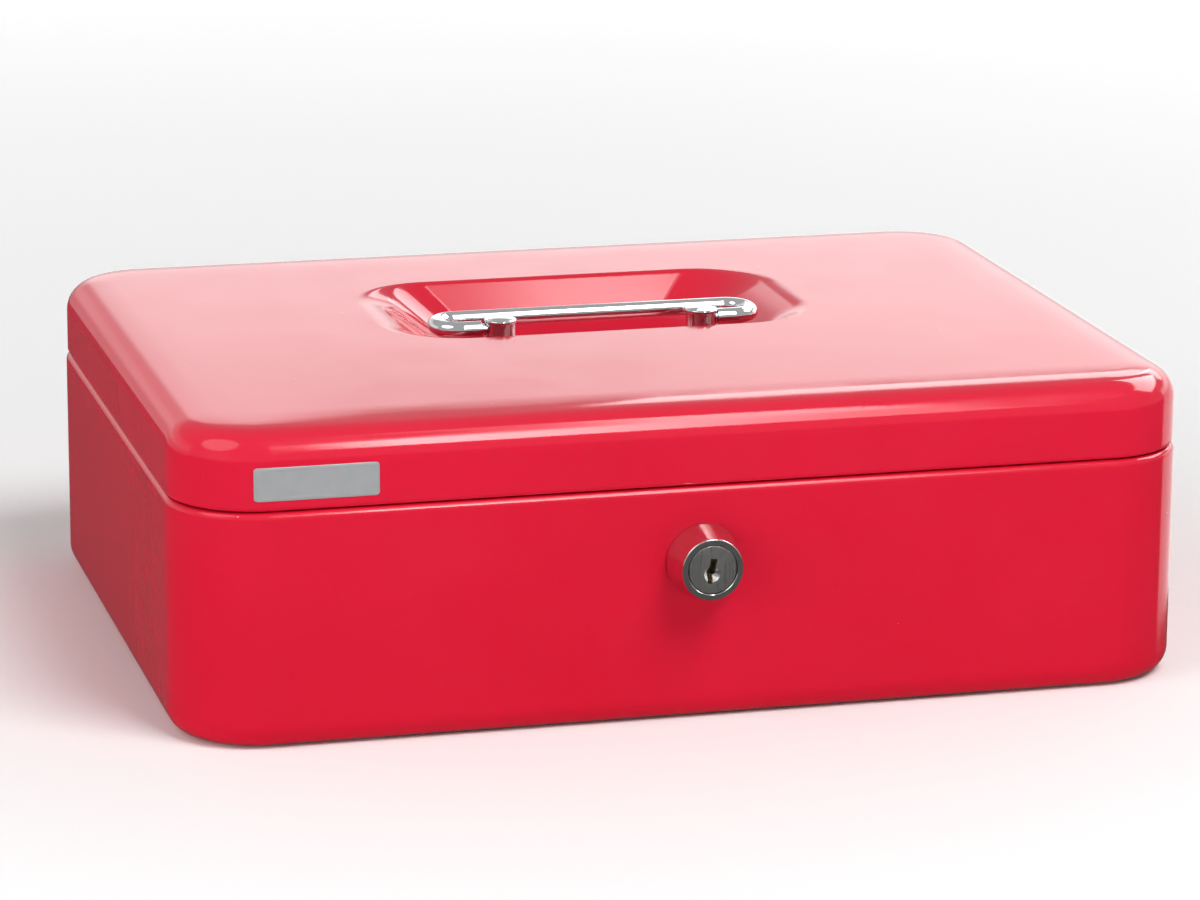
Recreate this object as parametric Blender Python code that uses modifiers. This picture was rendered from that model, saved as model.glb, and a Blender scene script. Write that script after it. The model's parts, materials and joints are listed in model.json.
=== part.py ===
"""Drawn steel cash box with a recessed carrying handle, a cam lock and a lift-out coin tray.

Metres, +Z up. +X is to the right of someone facing the lock, and the lock faces -Y.
The origin is on the ground, under the middle of the steel shell.
"""

import math

import bmesh
import bpy
from mathutils import Vector

# Driving dimensions of the steel shell.
LENGTH = 0.300
DEPTH = 0.225
HEIGHT = 0.092
CORNER_RADIUS = 0.026
SHEET = 0.001
GAP = 0.0003
CORNER_STEPS = 8

# Body: rounded foot, wall, rolled shoulder, and a flange that the lid closes over.
FOOT_RADIUS = 0.007
SHOULDER_TOP = 0.0689
SHOULDER_RADIUS = 0.002
THROAT_RADIUS = 0.0008
FLANGE_INSET = 0.0036
FLANGE_TOP = 0.075

# Lid: wall just inside the body's, a soft top edge, and a lower edge curled inwards.
LID_INSET = 0.00045
CURL_RADIUS = 0.0014
CURL_LEG = 0.0006
# The top edge as arcs that grow flatter: radius, tilt of the surface's normal at the end, steps.
LID_EDGE = ((0.0089, 83, 6), (0.065, 89, 3), (0.500, 90, 2))

# Handle recess, pressed into the lid: half sizes, middle and corner radius of its rim and floor.
RECESS_RIM = (0.068, 0.039, 0.024, 0.026)
RECESS_FLOOR = (0.0405, 0.02975, 0.02025, 0.012)
RECESS_DEPTH = 0.012
RECESS_STEPS = 10
RIM_BLEND = 0.14
END_BLEND = 0.55
FLOOR_BLEND = 0.25

# Handle: a wire bail whose two turned-down ends pivot in posts.
HANDLE_X = -0.0012
BAIL_SHIFT = -0.0005
BAIL_PLAY = 0.0008
PIVOT_Y = -0.0033
PIVOT_Z = 0.0918
WIRE_RADIUS = 0.0025
BAIL_HALF_WIDTH = 0.0490
BAIL_REACH = 0.0143
BAIL_BEND = 0.0069
POST_X = 0.0314
POST_RADIUS = 0.0046
POST_TOP = 0.095
CAP_RADIUS = 0.0049
CAP_HEIGHT = 0.0009
SHANK_RADIUS = 0.0020
SHANK_END = 0.0740
PIN_RADIUS = 0.0016
PIN_LENGTH = 0.0040

# Cam lock, in the middle of the front wall.
LOCK_Z = 0.0473
LOCK_REACH = 0.0105
BEZEL_RADIUS = 0.0110
FACE_RADIUS = 0.0090
BARREL_RADIUS = 0.0084
BARREL_END = 0.1046
PLUG_HEAD_RADIUS = 0.0070
PLUG_HEAD_DEPTH = 0.0022
PLUG_RADIUS = 0.0060
PLUG_PLAY = 0.00025
TAIL_HALF = 0.0030
CAM_FRONT = 0.1039
CAM_BACK = 0.1019
CAM_LENGTH = 0.0220
CAM_HALF_WIDTH = 0.0040
KEYWAY = (0.0021, 0.0082)
WAFER_COUNT = 5
WAFER_PITCH = 0.0022
WAFER_SIZE = (0.0050, 0.0110, 0.0008)

# Keeper: the strap under the lid that the cam catches.
KEEPER_X = 0.0165
KEEPER_HALF_WIDTH = 0.0060
KEEPER_PLATE_HALF_WIDTH = 0.0120
KEEPER_SHEET = 0.0012
KEEPER_TOP = 0.0820
KEEPER_STEP = 0.0760
KEEPER_FACE = 0.1056
KEEPER_LEDGE_TOP = 0.0427
KEEPER_LEDGE_BACK = 0.0995

# Two hinges at the back, their knuckles outside in the seam.
HINGE_X = 0.085
AXIS_Y = 0.1135
AXIS_Z = 0.069
KNUCKLE_RADIUS = 0.0024
KNUCKLE_BORE = 0.00125
HINGE_PIN_RADIUS = 0.0010
HINGE_HALF_WIDTH = 0.0160
MIDDLE_KNUCKLE_HALF = 0.0051
KNUCKLE_GAP = 0.0004
LEAF_SHEET = 0.0010
LID_LEAF_TOP = 0.0825
BODY_LEAF_FOOT = 0.0540

# Coin tray and the two angle strips that carry it.
TRAY_HALF = (0.142, 0.1044)
TRAY_CORNER = 0.018
TRAY_TOP = 0.0603
TRAY_LIP = 0.0020
TRAY_BOTTOM = 0.0360
TRAY_WALL = 0.0015
WELL_HALF_LENGTH = 0.132
WELL_DIVIDER = 0.003
COIN_ROW = (-0.0980, -0.0220)
NOTE_ROW = (-0.0140, 0.0960)
LOCK_ROOM = (-0.012, 0.026, -0.0970)
LEDGE_HALF_LENGTH = 0.060
LEDGE_DROP = 0.012
LEDGE_INNER = 0.1395

HALF_LENGTH = LENGTH / 2
HALF_DEPTH = DEPTH / 2
SEAM_GAP = 0.0003


def start_scene():
    for obj in list(bpy.data.objects):
        bpy.data.objects.remove(obj)
    parts = bpy.data.collections.new("cash_box")
    cutters = bpy.data.collections.new("cutters")
    for collection in (parts, cutters):
        bpy.context.scene.collection.children.link(collection)
    cutters.hide_render = True
    return parts, cutters


PARTS, CUTTERS = start_scene()


def make_material(name, colour, roughness, metallic):
    made = bpy.data.materials.new(name)
    made.use_nodes = True
    shader = made.node_tree.nodes["Principled BSDF"]
    shader.inputs["Base Color"].default_value = (*colour, 1.0)
    shader.inputs["Roughness"].default_value = roughness
    shader.inputs["Metallic"].default_value = metallic
    return made


RED_PAINT = make_material("red_paint", (0.62, 0.012, 0.035), 0.25, 0.0)
CHROME = make_material("chrome", (0.80, 0.81, 0.82), 0.06, 1.0)
NICKEL = make_material("nickel", (0.55, 0.54, 0.51), 0.28, 1.0)
ZINC = make_material("zinc_steel", (0.50, 0.51, 0.53), 0.38, 1.0)
BRASS = make_material("brass", (0.70, 0.50, 0.18), 0.30, 1.0)
BLACK_PLASTIC = make_material("black_plastic", (0.018, 0.018, 0.020), 0.45, 0.0)


# Helpers that make, place and combine shapes.


def add_mesh(name, mesh, paint=None):
    """Puts a mesh in the scene: a part if it has a material, else a cutter."""
    obj = bpy.data.objects.new(name, mesh)
    if paint:
        mesh.materials.append(paint)
        PARTS.objects.link(obj)
    else:
        CUTTERS.objects.link(obj)
        obj.hide_render = True
        obj.display_type = "WIRE"
    return obj


def from_bmesh(name, shape, paint=None, smooth_angle=35):
    mesh = bpy.data.meshes.new(name)
    shape.to_mesh(mesh)
    shape.free()
    mesh.shade_smooth()
    mesh.set_sharp_from_angle(angle=math.radians(smooth_angle))
    return add_mesh(name, mesh, paint)


def box(name, low, high, paint=None):
    size = Vector(high) - Vector(low)
    middle = (Vector(high) + Vector(low)) / 2
    shape = bmesh.new()
    bmesh.ops.create_cube(shape, size=1.0)
    bmesh.ops.scale(shape, vec=size, verts=shape.verts)
    bmesh.ops.translate(shape, vec=middle, verts=shape.verts)
    return from_bmesh(name, shape, paint)


def cylinder(name, radius, low, high, paint=None, sides=24, end_radius=None):
    """A cylinder or cone along local Z, from low to high."""
    shape = bmesh.new()
    bmesh.ops.create_cone(
        shape,
        cap_ends=True,
        segments=sides,
        radius1=radius,
        radius2=radius if end_radius is None else end_radius,
        depth=high - low,
    )
    bmesh.ops.translate(shape, vec=(0, 0, (low + high) / 2), verts=shape.verts)
    return from_bmesh(name, shape, paint)


def turned(name, profile, paint, sides=24, closed=False):
    """A profile of (radius, height) points, running down its outer side, turned about Z."""
    mesh = bpy.data.meshes.new(name)
    edges = [(i, i + 1) for i in range(len(profile) - 1)]
    if closed:
        edges.append((len(profile) - 1, 0))
    mesh.from_pydata([(r, 0, z) for r, z in profile], edges, [])
    obj = add_mesh(name, mesh, paint)
    screw = obj.modifiers.new("Turn", "SCREW")
    screw.steps = sides
    screw.render_steps = sides
    screw.use_merge_vertices = True
    screw.merge_threshold = 0.00001
    return obj


def washer(name, inner, outer, low, high, paint, sides=24):
    profile = [(inner, high), (outer, high), (outer, low), (inner, low)]
    return turned(name, profile, paint, sides, closed=True)


def flat_piece(name, outline, thickness, paint=None):
    """An outline in local XY given the thickness along Z, centred on its plane."""
    curve = bpy.data.curves.new(name, "CURVE")
    curve.dimensions = "2D"
    curve.fill_mode = "BOTH"
    curve.extrude = thickness / 2
    spline = curve.splines.new("POLY")
    spline.points.add(len(outline) - 1)
    for point, (x, y) in zip(spline.points, outline):
        point.co = (x, y, 0, 1)
    spline.use_cyclic_u = True
    return mesh_of_curve(name, curve, paint)


def tube(name, points, radius, paint):
    """A round wire along the points, with closed ends."""
    curve = bpy.data.curves.new(name, "CURVE")
    curve.dimensions = "3D"
    curve.bevel_depth = radius
    curve.bevel_resolution = 4
    curve.use_fill_caps = True
    spline = curve.splines.new("POLY")
    spline.points.add(len(points) - 1)
    for point, place in zip(spline.points, points):
        point.co = (*place, 1)
    return mesh_of_curve(name, curve, paint)


def mesh_of_curve(name, curve, paint):
    """The curve's shape as a welded mesh object."""
    guide = bpy.data.objects.new(name + "_curve", curve)
    bpy.context.scene.collection.objects.link(guide)
    graph = bpy.context.evaluated_depsgraph_get()
    mesh = bpy.data.meshes.new_from_object(guide.evaluated_get(graph))
    bpy.data.objects.remove(guide)
    shape = bmesh.new()
    shape.from_mesh(mesh)
    bmesh.ops.remove_doubles(shape, verts=shape.verts, dist=0.000001)
    bmesh.ops.recalc_face_normals(shape, faces=shape.faces)
    return from_bmesh(name, shape, paint)


def combine(obj, other, operation):
    step = obj.modifiers.new(other.name, "BOOLEAN")
    step.operation = operation
    step.solver = "EXACT"
    step.object = other


def cut(obj, *cutters):
    for cutter in cutters:
        combine(obj, cutter, "DIFFERENCE")


def join(obj, *others):
    for other in others:
        combine(obj, other, "UNION")


def place(objects, location, rotation=(0, 0, 0)):
    for obj in objects:
        obj.location = location
        obj.rotation_euler = [math.radians(angle) for angle in rotation]


def pivot(name, location, children):
    """An empty on a joint's axis, carrying the pieces that move about it."""
    empty = bpy.data.objects.new(name, None)
    empty.empty_display_size = 0.01
    empty.location = location
    PARTS.objects.link(empty)
    bpy.context.view_layer.update()
    for child in children:
        child.parent = empty
        child.matrix_parent_inverse = empty.matrix_world.inverted()


def arc(centre, radius, start, end, steps):
    """Points on an arc, angles in degrees."""
    points = []
    for step in range(steps + 1):
        angle = math.radians(start + (end - start) * step / steps)
        points.append((centre[0] + radius * math.cos(angle), centre[1] + radius * math.sin(angle)))
    return points


def ring(half_x, half_y, radius, height, middle_y=0.0):
    """A rounded rectangle, anticlockwise from above."""
    points = []
    for quarter, (side_x, side_y) in enumerate(((1, -1), (1, 1), (-1, 1), (-1, -1))):
        centre = (side_x * (half_x - radius), middle_y + side_y * (half_y - radius))
        start = 90 * quarter - 90
        points += [(x, y, height) for x, y in arc(centre, radius, start, start + 90, CORNER_STEPS)]
    return points


def shell_rings(profile):
    """Rings of the shell's plan, each moved in from the body's wall by its inset."""
    rings = []
    for inset, height in profile:
        rings.append(ring(HALF_LENGTH - inset, HALF_DEPTH - inset, CORNER_RADIUS - inset, height))
    return rings


def skin(name, rings, paint=None, first=False, last=False):
    """A surface through the rings, closed over the first or the last where asked."""
    shape = bmesh.new()
    loops = [[shape.verts.new(point) for point in points] for points in rings]
    for lower, upper in zip(loops, loops[1:]):
        for i in range(len(lower)):
            following = (i + 1) % len(lower)
            shape.faces.new((lower[i], lower[following], upper[following], upper[i]))
    if first:
        shape.faces.new(loops[0][::-1])
    if last:
        shape.faces.new(loops[-1])
    return from_bmesh(name, shape, paint)


def thicken(obj, thickness):
    solid = obj.modifiers.new("Sheet", "SOLIDIFY")
    solid.thickness = thickness
    solid.offset = -1
    solid.use_even_offset = True


# Steel shells.


def make_body_shell():
    foot = arc((FOOT_RADIUS, FOOT_RADIUS), FOOT_RADIUS, 270, 180, 5)
    shoulder_middle = (SHOULDER_RADIUS, SHOULDER_TOP - SHOULDER_RADIUS)
    shoulder = arc(shoulder_middle, SHOULDER_RADIUS, 180, 90, 4)
    throat_middle = (FLANGE_INSET - THROAT_RADIUS, SHOULDER_TOP + THROAT_RADIUS)
    throat = arc(throat_middle, THROAT_RADIUS, 270, 360, 3)
    profile = foot + shoulder + throat + [(FLANGE_INSET, FLANGE_TOP)]
    body = skin("body_shell", shell_rings(profile), RED_PAINT, first=True)
    thicken(body, SHEET)
    hole = cylinder("lock_hole", BARREL_RADIUS + GAP, HALF_DEPTH - 0.004, HALF_DEPTH + 0.004, sides=32)
    place([hole], (0, 0, LOCK_Z), (90, 0, 0))
    cut(body, hole)
    for side, name in ((-1, "left"), (1, "right")):
        cut(body, hinge_notch(f"body_notch_{name}", side * HINGE_X, 0.10975, 0.0655, 0.0705))
    return body


def hinge_notch(name, middle_x, inner_y, low_z, high_z):
    half = HINGE_HALF_WIDTH + 0.0012
    return box(name, (middle_x - half, inner_y, low_z), (middle_x + half, HALF_DEPTH + 0.002, high_z))


def blend(share, start, end):
    """Rises from 0 to 1 with a straight middle, rounded off over the start and end shares."""
    slope = 1 / (1 - start / 2 - end / 2)
    if share < start:
        return slope * share**2 / (2 * start)
    if share > 1 - end:
        return 1 - slope * (1 - share) ** 2 / (2 * end)
    return slope * (share - start / 2)


def recess_ring(share):
    """The recess at this share of the way from its rim to its floor. Its rim is softer at the two ends."""
    size = [rim + (floor - rim) * share for rim, floor in zip(RECESS_RIM, RECESS_FLOOR)]
    half_x, half_y, middle_y, radius = size
    points = []
    for x, y, _ in ring(half_x, half_y, radius, HEIGHT, middle_y):
        turn = max(0.0, (abs(x) - half_x + radius) / radius)
        if half_y - abs(y - middle_y) > radius:
            turn = 1.0
        start = RIM_BLEND + (END_BLEND - RIM_BLEND) * turn**2
        points.append((x, y, HEIGHT - RECESS_DEPTH * blend(share, start, FLOOR_BLEND)))
    return points


def lid_edge():
    """The lid's soft top edge, from the top of its wall to the flat of its top."""
    tilt, rise = 0, 0
    for radius, end, _ in LID_EDGE:
        rise += radius * (math.sin(math.radians(end)) - math.sin(math.radians(tilt)))
        tilt = end
    points, tilt = [(LID_INSET, HEIGHT - rise)], 0
    for radius, end, steps in LID_EDGE:
        inset, height = points[-1]
        lean = math.radians(tilt)
        middle = (inset + radius * math.cos(lean), height - radius * math.sin(lean))
        points += arc(middle, radius, 180 - tilt, 180 - end, steps)[1:]
        tilt = end
    return points


def make_lid_shell():
    curl_middle = (LID_INSET + CURL_RADIUS, SHOULDER_TOP + SEAM_GAP + CURL_RADIUS)
    curl = arc(curl_middle, CURL_RADIUS, 360, 180, 8)
    leg = (curl[0][0], curl[0][1] + CURL_LEG)
    rings = shell_rings([leg] + curl + lid_edge())
    near_rim = [RIM_BLEND * step / 2 for step in range(3)]
    slope = [RIM_BLEND + (1 - RIM_BLEND) * step / RECESS_STEPS for step in range(1, RECESS_STEPS + 1)]
    rings += [recess_ring(share) for share in near_rim + slope]
    lid = skin("lid_shell", rings, RED_PAINT, last=True)
    thicken(lid, SHEET)
    for side, name in ((-1, "left"), (1, "right")):
        hole = cylinder(f"post_hole_{name}", SHANK_RADIUS + GAP, 0.070, 0.090, sides=16)
        place([hole], (HANDLE_X + side * POST_X, PIVOT_Y, 0))
        notch = hinge_notch(f"lid_notch_{name}", side * HINGE_X, 0.1085, 0.0680, 0.0732)
        cut(lid, hole, notch)
    return lid


# Handle.


def bail_path():
    """Half of the bail's centre line, from its end in the post to the middle of the grip."""
    start = POST_X + POST_RADIUS + BAIL_PLAY
    bend = BAIL_BEND
    front = arc((BAIL_HALF_WIDTH - bend, bend), bend, -90, 0, 7)
    back = arc((BAIL_HALF_WIDTH - bend, BAIL_REACH - bend), bend, 0, 90, 7)
    return [(start, 0)] + front + back


def make_bail():
    right = [(x, y, 0) for x, y in bail_path()]
    left = [(-x, y, z) for x, y, z in reversed(right)]
    bail = tube("handle_bail", right + left, WIRE_RADIUS, CHROME)
    place([bail], (HANDLE_X + BAIL_SHIFT, PIVOT_Y, PIVOT_Z))
    for side, name in ((-1, "left"), (1, "right")):
        outer = POST_X + POST_RADIUS + BAIL_PLAY + 0.001
        inner = POST_X + POST_RADIUS - PIN_LENGTH
        end = cylinder(f"bail_pin_{name}", PIN_RADIUS, inner, outer, sides=16)
        place([end], (HANDLE_X + BAIL_SHIFT, PIVOT_Y, PIVOT_Z), (0, 90 * side, 0))
        join(bail, end)
    return bail


def make_post(side, name):
    floor = HEIGHT - RECESS_DEPTH + GAP
    profile = [
        (0, POST_TOP),
        (CAP_RADIUS - 0.0005, POST_TOP),
        (CAP_RADIUS, POST_TOP - 0.0004),
        (CAP_RADIUS, POST_TOP - CAP_HEIGHT),
        (POST_RADIUS, POST_TOP - CAP_HEIGHT - 0.0003),
        (POST_RADIUS, floor),
        (SHANK_RADIUS, floor),
        (SHANK_RADIUS, SHANK_END),
        (0, SHANK_END),
    ]
    post = turned(f"handle_post_{name}", profile, CHROME, sides=28)
    place([post], (HANDLE_X + side * POST_X, PIVOT_Y, 0))
    low = POST_X + POST_RADIUS - PIN_LENGTH - BAIL_PLAY
    hole = cylinder(f"pivot_hole_{name}", PIN_RADIUS + GAP, low, POST_X + 0.006, sides=16)
    place([hole], (HANDLE_X, PIVOT_Y, PIVOT_Z), (0, 90 * side, 0))
    cut(post, hole)
    return post


def make_post_fixings(side, name):
    under = HEIGHT - RECESS_DEPTH - SHEET - GAP
    ring_piece = washer(f"post_washer_{name}", SHANK_RADIUS + GAP, 0.0055, under - 0.001, under, ZINC)
    nut = make_nut(f"post_nut_{name}", 0.0035, SHANK_RADIUS + 0.0002, under - 0.0037, under - 0.0013)
    place([ring_piece, nut], (HANDLE_X + side * POST_X, PIVOT_Y, 0))
    return [ring_piece, nut]


def make_nut(name, half_flats, bore, low, high):
    """A hexagon nut along local Z."""
    nut = cylinder(name, half_flats / math.cos(math.radians(30)), low, high, ZINC, sides=6)
    hole = cylinder(name + "_bore", bore, low - 0.001, high + 0.001, sides=20)
    cut(nut, hole)
    nut_places.append((nut, hole))
    return nut


nut_places = []


def bind_nut_bores():
    """Moves each nut's cutter to where its nut has been placed."""
    for nut, hole in nut_places:
        hole.location = nut.location
        hole.rotation_euler = nut.rotation_euler


# Cam lock. Its pieces are made with local Z pointing out of the front wall.


def lock_place(*objects):
    place(objects, (0, 0, LOCK_Z), (90, 0, 0))


def make_lock_housing():
    wall = HALF_DEPTH + GAP
    face = HALF_DEPTH + LOCK_REACH
    head_bore = PLUG_HEAD_RADIUS + PLUG_PLAY
    bore = PLUG_RADIUS + PLUG_PLAY
    shelf = face - PLUG_HEAD_DEPTH - GAP
    profile = [
        (head_bore, face),
        (FACE_RADIUS - 0.0006, face),
        (FACE_RADIUS, face - 0.0006),
        (BEZEL_RADIUS - 0.0004, wall + 0.0014),
        (BEZEL_RADIUS, wall + 0.0010),
        (BEZEL_RADIUS, wall),
        (BARREL_RADIUS, wall),
        (BARREL_RADIUS, BARREL_END),
        (bore, BARREL_END),
        (bore, shelf),
        (head_bore, shelf),
    ]
    housing = turned("lock_housing", profile, NICKEL, sides=36, closed=True)
    lock_place(housing)
    return housing


def make_lock_plug():
    face = HALF_DEPTH + LOCK_REACH - 0.0002
    neck = HALF_DEPTH + LOCK_REACH - PLUG_HEAD_DEPTH
    profile = [
        (0, face),
        (PLUG_HEAD_RADIUS - 0.0003, face),
        (PLUG_HEAD_RADIUS, face - 0.0003),
        (PLUG_HEAD_RADIUS, neck),
        (PLUG_RADIUS, neck),
        (PLUG_RADIUS, BARREL_END),
        (0, BARREL_END),
    ]
    plug = turned("lock_plug", profile, NICKEL, sides=32)
    tail_end = CAM_BACK + GAP
    tail = box("plug_tail", (-TAIL_HALF, -TAIL_HALF, tail_end), (TAIL_HALF, TAIL_HALF, BARREL_END + 0.001))
    half_slot, half_height = KEYWAY[0] / 2, KEYWAY[1] / 2
    stem = box("keyway", (-half_slot, -half_height, BARREL_END + 0.004), (half_slot, half_height, face + 0.001))
    sink = cylinder("keyway_sink", 0.0006, face - 0.0016, face + 0.0002, sides=20, end_radius=0.0027)
    thread = cylinder("cam_thread", 0.0019, tail_end - 0.001, BARREL_END + 0.001, sides=16)
    lock_place(plug, tail, stem, thread)
    place([sink], (0, 0, LOCK_Z - 0.0012), (90, 0, 0))
    join(plug, tail)
    cut(plug, stem, sink, thread)
    for index in range(WAFER_COUNT):
        cut(plug, make_wafer_slot(index))
    return plug


def wafer_depth(index):
    return HALF_DEPTH + 0.0055 - WAFER_PITCH * index


def make_wafer_slot(index):
    half_x = WAFER_SIZE[0] / 2 + GAP
    half_z = WAFER_SIZE[2] / 2 + GAP
    depth = wafer_depth(index)
    slot = box(f"wafer_slot_{index + 1}", (-half_x, -0.009, depth - half_z), (half_x, 0.009, depth + half_z))
    lock_place(slot)
    return slot


def make_wafer(index):
    """A thin brass wafer with a window for the key, cut a little higher or lower on each."""
    half_x, half_y, half_z = (size / 2 for size in WAFER_SIZE)
    depth = wafer_depth(index)
    wafer = box(f"lock_wafer_{index + 1}", (-half_x, -half_y, depth - half_z), (half_x, half_y, depth + half_z), BRASS)
    shift = 0.0006 * ((index * 2) % 5 - 2)
    window = box(f"wafer_window_{index + 1}", (-0.0014, shift - 0.0028, depth - 0.002), (0.0014, shift + 0.0028, depth + 0.002))
    lock_place(wafer, window)
    cut(wafer, window)
    return wafer


def make_lock_fixings():
    inner = HALF_DEPTH - SHEET - GAP
    bore = BARREL_RADIUS + GAP
    ring_piece = washer("lock_washer", bore, 0.0122, inner - 0.001, inner, ZINC, sides=28)
    nut = make_nut("lock_nut", 0.0110, bore, inner - 0.0042, inner - 0.0013)
    lock_place(ring_piece, nut)
    return [ring_piece, nut]


def make_cam():
    """The cam stands up from the lock's axis when the lock is open."""
    half = CAM_HALF_WIDTH
    tip = arc((0, CAM_LENGTH - half), half, 0, 180, 8)
    hub = arc((0, 0), 0.006, 138, 402, 16)
    outline = tip + hub
    cam = flat_piece("lock_cam", outline, CAM_FRONT - CAM_BACK, ZINC)
    middle = (CAM_FRONT + CAM_BACK) / 2
    place([cam], (0, -middle, LOCK_Z), (90, 0, 0))
    square = TAIL_HALF + GAP
    hole = box("cam_square", (-square, -square, CAM_BACK - 0.002), (square, square, CAM_FRONT + 0.002))
    lock_place(hole)
    cut(cam, hole)
    return cam


def make_cam_screw():
    head = CAM_BACK - GAP
    profile = [
        (0, CAM_BACK + 0.0022),
        (0.0016, CAM_BACK + 0.0022),
        (0.0016, head),
        (0.0040, head),
        (0.0040, head - 0.0010),
        (0.0028, head - 0.0018),
        (0, head - 0.0020),
    ]
    screw = turned("cam_screw", profile, ZINC, sides=20)
    slot = box("screw_slot", (-0.006, -0.0004, head - 0.003), (0.006, 0.0004, head - 0.0011))
    lock_place(screw, slot)
    cut(screw, slot)
    return screw


def make_keeper():
    """A strap welded inside the lid's front wall, over the flange and down to a ledge for the cam."""
    wall = HALF_DEPTH - LID_INSET - SHEET - GAP
    sheet = KEEPER_SHEET
    strap = [
        (-wall, KEEPER_TOP),
        (-wall, KEEPER_STEP),
        (-KEEPER_FACE, KEEPER_STEP),
        (-KEEPER_FACE, KEEPER_LEDGE_TOP - sheet),
        (-KEEPER_LEDGE_BACK, KEEPER_LEDGE_TOP - sheet),
        (-KEEPER_LEDGE_BACK, KEEPER_LEDGE_TOP),
        (sheet - KEEPER_FACE, KEEPER_LEDGE_TOP),
        (sheet - KEEPER_FACE, KEEPER_STEP + sheet),
        (sheet - wall, KEEPER_STEP + sheet),
        (sheet - wall, KEEPER_TOP),
    ]
    keeper = flat_piece("lid_keeper", strap, 2 * KEEPER_HALF_WIDTH, ZINC)
    place([keeper], (KEEPER_X, 0, 0), (90, 0, 90))
    half = KEEPER_PLATE_HALF_WIDTH
    plate = box(
        "keeper_plate",
        (KEEPER_X - half, -wall, KEEPER_STEP + 0.001),
        (KEEPER_X + half, sheet - wall, KEEPER_TOP),
    )
    join(keeper, plate)
    return keeper


# Hinges. Leaf profiles are drawn in the YZ plane and given their width along X.


def leaf_piece(name, outline, low_x, high_x, paint=None):
    piece = flat_piece(name, outline, high_x - low_x, paint)
    place([piece], ((low_x + high_x) / 2, 0, 0), (90, 0, 90))
    return piece


def knuckle(name, low_x, high_x):
    piece = cylinder(name, KNUCKLE_RADIUS, low_x, high_x, sides=24)
    place([piece], (0, AXIS_Y, AXIS_Z), (0, 90, 0))
    return piece


def knuckle_bore(name, middle_x):
    half = HINGE_HALF_WIDTH + 0.002
    piece = cylinder(name, KNUCKLE_BORE, middle_x - half, middle_x + half, sides=20)
    place([piece], (0, AXIS_Y, AXIS_Z), (0, 90, 0))
    return piece


def make_lid_leaf(side, name):
    middle = side * HINGE_X
    face = HALF_DEPTH - LID_INSET - SHEET - GAP
    low = AXIS_Z + KNUCKLE_RADIUS - LEAF_SHEET
    plate = box(
        f"hinge_{name}_lid_leaf",
        (middle - HINGE_HALF_WIDTH, face - LEAF_SHEET, low + 0.0018),
        (middle + HINGE_HALF_WIDTH, face, LID_LEAF_TOP),
        ZINC,
    )
    neck = [
        (AXIS_Y, low),
        (AXIS_Y, low + LEAF_SHEET),
        (face, low + LEAF_SHEET),
        (face, low + 0.003),
        (face - LEAF_SHEET, low + 0.003),
        (face - LEAF_SHEET, low),
    ]
    half = MIDDLE_KNUCKLE_HALF
    strap = leaf_piece(f"lid_strap_{name}", neck, middle - half, middle + half)
    barrel = knuckle(f"lid_knuckle_{name}", middle - half, middle + half)
    join(plate, strap, barrel)
    cut(plate, knuckle_bore(f"lid_bore_{name}", middle))
    return plate


def make_body_leaf(side, name):
    middle = side * HINGE_X
    face = HALF_DEPTH - SHEET - GAP
    high = AXIS_Z - KNUCKLE_RADIUS + LEAF_SHEET
    plate = box(
        f"hinge_{name}_body_leaf",
        (middle - HINGE_HALF_WIDTH, face - LEAF_SHEET, BODY_LEAF_FOOT),
        (middle + HINGE_HALF_WIDTH, face, high - 0.0018),
        ZINC,
    )
    neck = [
        (AXIS_Y, high - LEAF_SHEET),
        (AXIS_Y, high),
        (face - LEAF_SHEET, high),
        (face - LEAF_SHEET, high - 0.003),
        (face, high - 0.003),
        (face, high - LEAF_SHEET),
    ]
    near = MIDDLE_KNUCKLE_HALF + KNUCKLE_GAP
    for end, part in ((-1, "a"), (1, "b")):
        low_x, high_x = sorted((middle + end * near, middle + end * HINGE_HALF_WIDTH))
        strap = leaf_piece(f"body_strap_{name}_{part}", neck, low_x, high_x)
        barrel = knuckle(f"body_knuckle_{name}_{part}", low_x, high_x)
        join(plate, strap, barrel)
    cut(plate, knuckle_bore(f"body_bore_{name}", middle))
    return plate


def make_hinge_pin(side, name):
    half = HINGE_HALF_WIDTH + 0.0006
    middle = side * HINGE_X
    pin = cylinder(f"hinge_{name}_pin", HINGE_PIN_RADIUS, middle - half, middle + half, ZINC, sides=16)
    place([pin], (0, AXIS_Y, AXIS_Z), (0, 90, 0))
    return pin


# Coin tray.


def rounded_box(name, low, high, radius):
    """A box with its upright and lower edges rounded."""
    made = box(name, low, high)
    shape = bmesh.new()
    shape.from_mesh(made.data)
    top = max(high[2], low[2])
    edges = [edge for edge in shape.edges if any(vert.co.z < top - 1e-6 for vert in edge.verts)]
    bmesh.ops.bevel(shape, geom=edges, offset=radius, segments=3, profile=0.5, affect="EDGES")
    shape.to_mesh(made.data)
    shape.free()
    return made


def row_wells(count, row, name):
    """Cutters for a row of equal compartments along X."""
    pitch = (2 * WELL_HALF_LENGTH + WELL_DIVIDER) / count
    front, back = row
    floor = TRAY_BOTTOM + TRAY_WALL
    wells = []
    for index in range(count):
        left = pitch * index - WELL_HALF_LENGTH
        right = left + pitch - WELL_DIVIDER
        over_lock = left < LOCK_ROOM[1] and right > LOCK_ROOM[0] and front < LOCK_ROOM[2]
        near = LOCK_ROOM[2] + 0.004 if over_lock else front
        low = (left, near, floor)
        wells.append(rounded_box(f"{name}_well_{index + 1}", low, (right, back, TRAY_TOP + 0.01), 0.007))
    return wells


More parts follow.
